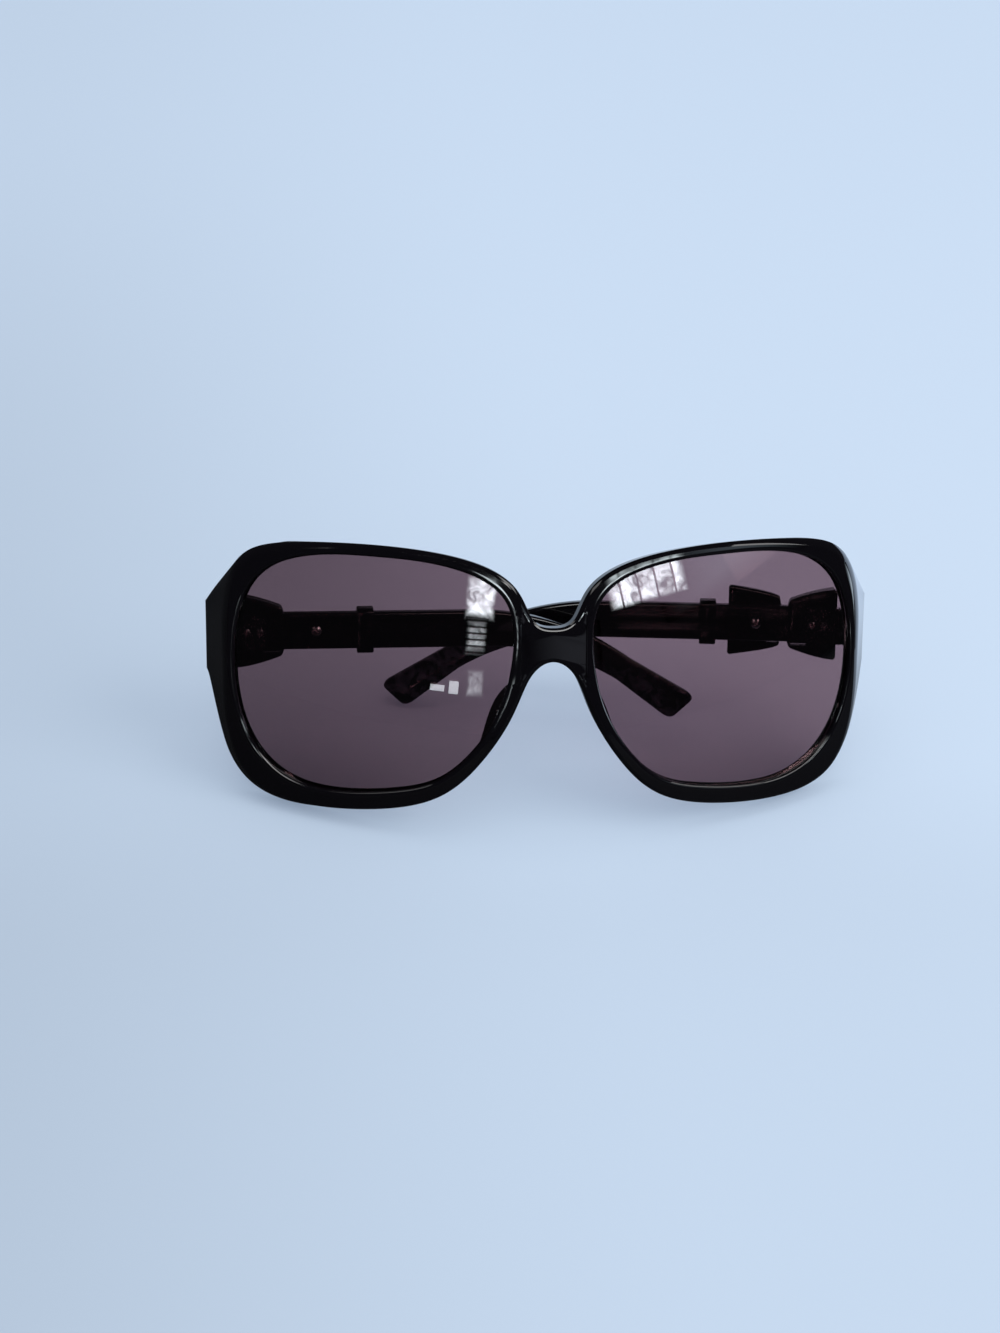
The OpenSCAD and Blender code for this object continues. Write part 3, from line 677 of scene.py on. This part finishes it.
def finishTree(tree, given, result, last):
    realize = addNode(tree, "GeometryNodeRealizeInstances", {"Geometry": last})
    paint = addNode(tree, "GeometryNodeSetMaterial", {
        "Geometry": realize.outputs["Geometry"], "Material": given.outputs["Material"]})
    wire(tree, result, {"Geometry": paint.outputs["Geometry"]})
    return tree


screw = {"headRadius": 0.9, "headHeight": 0.35, "headTopShare": 0.72, "headSides": 40,
         "slotWidth": 0.22, "slotDepth": 0.16, "slotShare": 2.4, "slotSpin": 1.2, "spinSeed": 4,
         "templeShares": (0.25, 0.75), "frontShares": (0.3, -0.3)}


def slottedScrewTree(sizes):  # one domed head with a slot on every point of the mesh
    tree, given, result = geometryTree("slottedScrews", sizes)
    radius, height = given.outputs["Head Radius"], given.outputs["Head Height"]
    head = addNode(tree, "GeometryNodeMeshCone", {
        "Vertices": screw["headSides"], "Radius Bottom": radius, "Depth": height,
        "Radius Top": mathNode(tree, "MULTIPLY", radius, screw["headTopShare"])})
    slot = addNode(tree, "ShaderNodeCombineXYZ", {
        "X": mathNode(tree, "MULTIPLY", radius, screw["slotShare"]),
        "Y": given.outputs["Slot Width"],
        "Z": mathNode(tree, "MULTIPLY", given.outputs["Slot Depth"], 2)})
    bar = addNode(tree, "GeometryNodeMeshCube", {"Size": slot.outputs["Vector"]})
    top = addNode(tree, "ShaderNodeCombineXYZ", {"Z": height})
    raised = addNode(tree, "GeometryNodeTransform", {
        "Geometry": bar.outputs["Mesh"], "Translation": top.outputs["Vector"]})
    cut = addNode(tree, "GeometryNodeMeshBoolean", {
        "Mesh 1": head.outputs["Mesh"], "Mesh 2": raised.outputs["Geometry"]},
        operation="DIFFERENCE")
    aimed = addNode(tree, "GeometryNodeTransform", {
        "Geometry": cut.outputs["Mesh"], "Rotation": (math.radians(90), 0, 0)})
    spin = addNode(tree, "FunctionNodeRandomValue", {
        "Min": (0, -screw["slotSpin"], 0), "Max": (0, screw["slotSpin"], 0),
        "Seed": screw["spinSeed"]}, data_type="FLOAT_VECTOR")
    heads = addNode(tree, "GeometryNodeInstanceOnPoints", {
        "Points": given.outputs["Geometry"], "Instance": aimed.outputs["Geometry"],
        "Rotation": spin.outputs["Value"]})
    return finishTree(tree, given, result, heads.outputs["Instances"])


def roundedBox(tree, width, height, corner, steps):
    path = addNode(tree, "GeometryNodeCurvePrimitiveQuadrilateral", {
        "Width": width, "Height": height})
    return addNode(tree, "GeometryNodeFilletCurve", {
        "Curve": path.outputs["Curve"], "Radius": corner, "Count": steps},
        mode="POLY").outputs["Curve"]


keeper = {"gap": 2.8, "width": 3.6, "wall": 0.9, "edge": 0.25, "cornerSteps": 8, "edgeSteps": 4}


def keeperTree(sizes):  # a band that runs once round the strap
    tree, given, result = geometryTree("keeperBand", sizes)
    strapHeight, strapThick, wall, width, corner, edge = (given.outputs[k] for k in sizes)
    path = roundedBox(tree, mathNode(tree, "ADD", strapHeight, wall),
                      mathNode(tree, "ADD", strapThick, wall), corner, keeper["cornerSteps"])
    section = roundedBox(tree, wall, width, edge, keeper["edgeSteps"])
    sweep = addNode(tree, "GeometryNodeCurveToMesh", {"Curve": path, "Profile Curve": section})
    return finishTree(tree, given, result, sweep.outputs["Mesh"])


def grow(name, tree, points, values, material, place):
    obj = newObject(name, points, [])
    modifier = obj.modifiers.new(name, "NODES")
    modifier.node_group = tree
    given = {item.name: item.identifier for item in tree.interface.items_tree
             if item.item_type == "SOCKET" and item.in_out == "INPUT"}
    for title, value in values.items():
        modifier[given[title]] = float(value)
    modifier[given["Material"]] = material
    bpy.context.view_layer.update()
    keepResult(obj)
    obj.data.transform(place)
    cleanMesh(obj.data, fineWeld)
    return obj


screwSizes = {"Head Radius": screw["headRadius"], "Head Height": screw["headHeight"],
              "Slot Width": screw["slotWidth"], "Slot Depth": screw["slotDepth"]}
bandSizes = {"Strap Height": temple["strapHeight"] + 2 * fitGap,
             "Strap Thick": temple["strapThick"] + 2 * fitGap, "Wall": keeper["wall"],
             "Width": keeper["width"], "Corner": keeper["wall"], "Edge": keeper["edge"]}
screwTree, bandTree = slottedScrewTree(screwSizes), keeperTree(bandSizes)
leafHeight = 3 * hinge["knuckleHeight"] + 2 * hinge["knuckleGap"]
headAt = axisIn - hinge["leafThick"]
templeScrews = [(axisIn + hinge["leafLength"] * share, headAt, 0)
                for share in screw["templeShares"]]
frontScrews = [(axisIn + hinge["frontLeafLength"] / 2, headAt, leafHeight * share)
               for share in screw["frontShares"]]
keeperMiddle = (temple["bowFront"] + temple["knotGap"] + temple["bowRear"] + keeper["gap"]
                + keeper["width"] / 2)
roundStrap = (Matrix.Translation((keeperMiddle, axisIn + temple["strapThick"] / 2, 0))
              @ Matrix.Rotation(math.radians(90), 4, "Y"))
for side in ("right", "left"):
    screws = grow(side + "TempleScrews", screwTree, templeScrews, screwSizes, steel, atSide(side))
    dressPiece(screws, steel, side + "_temple", [side + "_temple_leaf_screws"])
    screws = grow(side + "FrontScrews", screwTree, frontScrews, screwSizes, steel, atEnd(side))
    dressPiece(screws, steel, "front", [side + "_front_leaf_screws"])
    band = grow(side + "KeeperBand", bandTree, [(0, 0, 0)], bandSizes, black,
                atSide(side) @ roundStrap)
    dressPiece(band, black, side + "_temple", [side + "_keeper_loop"], sharp=40)
print("screws and keepers made")


# Floor, light and camera, in metres. A reach says where along an axis a change of level
# starts and ends. Panes are seen only in what mirrors them.
windowTone, wallTone = (0.84, 0.95, 1), (0.72, 0.86, 1)
stage = {
    # The floor's levels and glow hold painted shade, shadow, light and reflection
    "floor": (0.361, 0.415, 0.464), "floorGlow": (0.22, 0.28, 0.38), "floorSize": 12,
    "cloudShare": 0.985, "cloudScale": 5, "floorRoughness": 0.9,
    "sky": (0.86, 0.92, 1.0), "skyStrength": 0.74, "backdrop": (0.45, 0.54, 0.66),
    "room": (0.03, 0.03, 0.038), "lampAim": (0, 0, 0.02), "paneDistance": 1.6,
    "shadeReach": (-0.16, 0.03), "shadeLeast": 0.80, "evenReach": (0.05, 0.33), "evenMost": 0.6,
    "nearReach": (-0.06, 0.0), "nearLeast": 0.94,
    "lensAcross": (-0.07, 0.04), "lensLeast": 0.78, "lensMost": 1.3,
    "lensBack": (-0.012, 0.012), "lensNear": 0.79,
    "mirrorBack": (-0.02, 0.06), "mirrorRight": (-0.07, 0.05), "mirrorLeast": 0.03,
    "brightRight": (0.07, 0.12), "brightMost": 2.9,
    "lamps": [
        {"name": "overhead", "place": (0, 0.3, 1.5), "size": (1.4, 1.0), "power": 5},
        {"name": "side", "place": (1.0, -0.45, 0.9), "size": (0.9, 0.9), "power": 8},
    ],
    "panes": [
        {"name": "ridgeLight", "azimuth": 20, "elevation": 62, "size": (1.8, 0.45), "glow": 8},
        {"name": "rightLight", "azimuth": 95, "elevation": 48, "size": (0.6, 0.6), "glow": 4},
        {"name": "leftLight", "azimuth": -85, "elevation": 55, "size": (0.6, 0.5), "glow": 2},
        {"name": "rightWall", "azimuth": 52, "elevation": 27, "size": (1.2, 0.4), "glow": 1.3,
         "soft": 1, "tone": wallTone},
        {"name": "rightEdge", "azimuth": 83, "elevation": 2, "size": (0.8, 0.5), "glow": 7,
         "soft": 0.8, "tone": wallTone},
        {"name": "middleWall", "azimuth": 10, "elevation": 17, "size": (0.35, 0.3), "glow": 0.4,
         "soft": 0.8, "tone": (0.8, 0.85, 1)},
        {"name": "leftWindow", "azimuth": -8.4, "elevation": 27.4, "size": (0.17, 0.25),
         "glow": 26, "soft": 0.4, "twigs": 14, "tone": windowTone},
        {"name": "leftBlind", "azimuth": -8.8, "elevation": 20, "size": (0.12, 0.22),
         "glow": 14, "soft": 0.6, "twigs": 8, "opening": (0.5, 0.035), "tone": windowTone},
        {"name": "lowWindow", "azimuth": -8.4, "elevation": 10.8, "size": (0.1, 0.17),
         "glow": 8, "soft": 0.6, "twigs": 10, "tone": windowTone},
        {"name": "lowPane", "azimuth": -12.4, "elevation": 9.6, "size": (0.05, 0.07),
         "glow": 10, "tone": windowTone},
        {"name": "farPane", "azimuth": -15.5, "elevation": 9.2, "size": (0.075, 0.035),
         "glow": 10, "tone": windowTone},
        {"name": "rightWindow", "azimuth": 28, "elevation": 27.5, "size": (0.46, 0.22),
         "glow": 26, "soft": 0.3, "twigs": 14, "opening": (0.1, 0.3), "tone": windowTone},
    ],
}


def product(tree, *values):
    total = values[0]
    for value in values[1:]:
        total = mathNode(tree, "MULTIPLY", total, value)
    return total


def mirrorRay(tree):  # 1 once a polished face has mirrored the ray, 0 through glass alone
    rays = addNode(tree, "ShaderNodeLightPath").outputs
    return product(tree, rays["Is Glossy Ray"],
                   mathNode(tree, "GREATER_THAN", rays["Glossy Depth"], 0.5))


def rising(tree, axis, reach, least, most=1):  # goes from least to most over the reach
    split = addNode(tree, "ShaderNodeSeparateXYZ", {"Vector": objectPlace(tree)})
    return addNode(tree, "ShaderNodeMapRange", {
        "Value": split.outputs[axis], "From Min": reach[0], "From Max": reach[1],
        "To Min": least, "To Max": most}, interpolation_type="SMOOTHSTEP").outputs["Result"]


def mixed(tree, factor, first, second):
    return addNode(tree, "ShaderNodeMix", {
        "Factor": factor, "A": first, "B": second}).outputs["Result"]


def paperFloor():
    material, tree, shader = newMaterial("paleSheet")
    clouds = addNode(tree, "ShaderNodeTexNoise", {
        "Vector": objectPlace(tree), "Scale": stage["cloudScale"]})
    colour = colourRamp(tree, clouds.outputs["Fac"],
                        [c * stage["cloudShare"] for c in stage["floor"]], stage["floor"])
    # Painted shade: the sheet is darker at the left, less so far back, and a little darker in front of the glasses
    shade = mixed(tree, rising(tree, "Y", stage["evenReach"], 0, stage["evenMost"]),
                  rising(tree, "X", stage["shadeReach"], stage["shadeLeast"]), 1)
    near = rising(tree, "Y", stage["nearReach"], stage["nearLeast"])
    # Painted shadow and light: seen through the lenses, the sheet is darker near them and lighter at the right
    throughLens = addNode(tree, "ShaderNodeLightPath").outputs["Is Transmission Ray"]
    tinted = product(
        tree, rising(tree, "X", stage["lensAcross"], stage["lensLeast"], stage["lensMost"]),
        rising(tree, "Y", stage["lensBack"], stage["lensNear"]))
    # Painted reflection: polished pieces mirror the sheet only to the right and behind, darkened elsewhere as the
    # room is dark, and brighter at the right
    ray = mirrorRay(tree)
    mirrored = product(tree, rising(tree, "Y", stage["mirrorBack"], stage["mirrorLeast"]),
                       rising(tree, "X", stage["mirrorRight"], stage["mirrorLeast"]))
    brighter = rising(tree, "X", stage["brightRight"], 1, stage["brightMost"])
    level = product(tree, shade, near, mixed(tree, throughLens, 1, tinted),
                    mixed(tree, ray, 1, mirrored))
    dimmed = addNode(tree, "ShaderNodeVectorMath", {0: colour, "Scale": level},
                     operation="SCALE")
    # Painted light: the sheet glows in part for every ray, which lifts its shadows, and glows brighter at the
    # right where it is mirrored
    wire(tree, shader, {
        "Base Color": dimmed.outputs["Vector"], "Roughness": stage["floorRoughness"],
        "Emission Color": (*stage["floorGlow"], 1),
        "Emission Strength": product(tree, level, mixed(tree, ray, 1, brighter))})
    return material


def flatSheet(name, width, height, material):
    x, y = width / 2, height / 2
    sheet = newObject(name, [(-x, -y, 0), (x, -y, 0), (x, y, 0), (-x, y, 0)], [(0, 1, 2, 3)])
    sheet.data.materials.append(material)
    return sheet


def addLamp(name, place, size, power):
    light = bpy.data.lights.new(name, "AREA")
    light.shape = "RECTANGLE"
    light.size, light.size_y = size
    light.energy = power
    lamp = bpy.data.objects.new(name, light)
    lamp.location = place
    aim = Vector(stage["lampAim"]) - Vector(place)
    lamp.rotation_euler = aim.to_track_quat("-Z", "Y").to_euler()
    lamp.visible_camera = lamp.visible_glossy = False
    bpy.context.scene.collection.objects.link(lamp)


def direction(azimuth, elevation):
    a, e = math.radians(azimuth), math.radians(elevation)
    return Vector((math.sin(a) * math.cos(e), -math.cos(a) * math.cos(e), math.sin(e)))


def softEdge(tree, place, size, soft):  # fades towards the pane's edge
    split = addNode(tree, "ShaderNodeSeparateXYZ", {"Vector": place}).outputs
    across, up = (mathNode(tree, "ABSOLUTE", product(tree, split[axis], 2 / length))
                  for axis, length in zip("XY", size))
    return addNode(tree, "ShaderNodeMapRange", {
        "Value": mathNode(tree, "MAXIMUM", across, up), "From Min": 1, "From Max": 1 - soft},
        interpolation_type="SMOOTHSTEP").outputs["Result"]


def twigShade(tree, place, scale):  # bare branches outside a window
    spots = addNode(tree, "ShaderNodeTexNoise", {
        "Vector": place, "Scale": scale, "Detail": 5, "Distortion": 1})
    return addNode(tree, "ShaderNodeMapRange", {
        "Value": spots.outputs["Fac"], "From Min": 0.35, "From Max": 0.62,
        "To Min": 0.12}).outputs["Result"]


def windowBars(tree, place, opening):  # dark bars between openings of this width and height
    middle = addNode(tree, "ShaderNodeVectorMath", {
        0: place, 1: (opening[0] / 2, opening[1] / 2, 0)})
    bright, pale, bar = ((grey, grey, grey, 1) for grey in (1, 0.4, 0.08))
    return addNode(tree, "ShaderNodeTexBrick", {
        "Vector": middle.outputs["Vector"], "Color1": bright, "Color2": pale, "Mortar": bar,
        "Scale": 1, "Mortar Size": 0.008, "Mortar Smooth": 0.5,
        "Brick Width": opening[0], "Row Height": opening[1]}, offset=0).outputs["Color"]


def paneLight(name, size, glow, tone=(1, 1, 1), soft=0, twigs=0, opening=None):
    material = bpy.data.materials.new(name)
    material.use_nodes = True
    tree = material.node_tree
    tree.nodes.clear()
    place, factors = objectPlace(tree), []
    if soft:
        factors.append(softEdge(tree, place, size, soft))
    if twigs:
        factors.append(twigShade(tree, place, twigs))
    if opening:
        factors.append(windowBars(tree, place, opening))
    glowing = addNode(tree, "ShaderNodeEmission", {
        "Color": (*tone, 1), "Strength": product(tree, glow, *factors)})
    addNode(tree, "ShaderNodeOutputMaterial", {"Surface": glowing.outputs["Emission"]})
    return material


def buildPane(name, azimuth, elevation, size, **light):
    pane = flatSheet(name, *size, paneLight(name, size, **light))
    ahead = direction(azimuth, elevation)
    pane.matrix_world = (Matrix.Translation(ahead * stage["paneDistance"])
                         @ (-ahead).to_track_quat("Z", "Y").to_matrix().to_4x4())
    pane.visible_camera = pane.visible_diffuse = pane.visible_shadow = False


def buildRoom():
    world = bpy.data.worlds.new("room")
    world.use_nodes = True
    bpy.context.scene.world = world
    tree = world.node_tree
    sky = tree.nodes["Background"]
    wire(tree, sky, {"Color": (*stage["sky"], 1), "Strength": stage["skyStrength"]})
    room, backdrop = (addNode(tree, "ShaderNodeBackground", {"Color": (*stage[colour], 1)})
                      for colour in ("room", "backdrop"))
    cameraRay = addNode(tree, "ShaderNodeLightPath").outputs["Is Camera Ray"]
    seen = sky.outputs["Background"]
    for factor, other in ((mirrorRay(tree), room), (cameraRay, backdrop)):
        seen = addNode(tree, "ShaderNodeMixShader", {
            "Fac": factor, 1: seen, 2: other.outputs["Background"]}).outputs["Shader"]
    wire(tree, tree.nodes["World Output"], {"Surface": seen})


# Where the photo was taken from, in the upright front: degrees and millimetres
photoCamera = {"yaw": 5.45, "pitch": 13.24, "roll": 0.51, "side": -11.12, "rise": 1.44,
               "distance": 495.4, "lens": 64.69}


def buildCamera():
    yaw, pitch, roll = (math.radians(photoCamera[k]) for k in ("yaw", "pitch", "roll"))
    right = Vector((math.cos(yaw), -math.sin(yaw), 0))
    up = Vector((math.sin(yaw) * math.sin(pitch), math.cos(yaw) * math.sin(pitch),
                 math.cos(pitch)))
    ahead = Vector((math.sin(yaw) * math.cos(pitch), math.cos(yaw) * math.cos(pitch),
                    -math.sin(pitch)))
    centre = (right * photoCamera["side"] + up * photoCamera["rise"]
              - ahead * photoCamera["distance"])
    rightTurned = right * math.cos(roll) + up * math.sin(roll)
    upTurned = up * math.cos(roll) - right * math.sin(roll)
    turn = Matrix((rightTurned, upTurned, -ahead)).transposed().to_4x4()
    data = bpy.data.cameras.new("camera")
    data.lens = photoCamera["lens"]
    camera = bpy.data.objects.new("camera", data)
    camera.matrix_world = Matrix.Translation(stand @ centre) @ turnBack @ turn
    bpy.context.scene.collection.objects.link(camera)
    bpy.context.scene.camera = camera


flatSheet("floor", stage["floorSize"], stage["floorSize"], paperFloor())
buildRoom()
for lamp in stage["lamps"]:
    addLamp(**lamp)
for pane in stage["panes"]:
    buildPane(**pane)
buildCamera()
bpy.context.scene.view_settings.view_transform = "Standard"
print("stage ready")

bpy.context.view_layer.update()
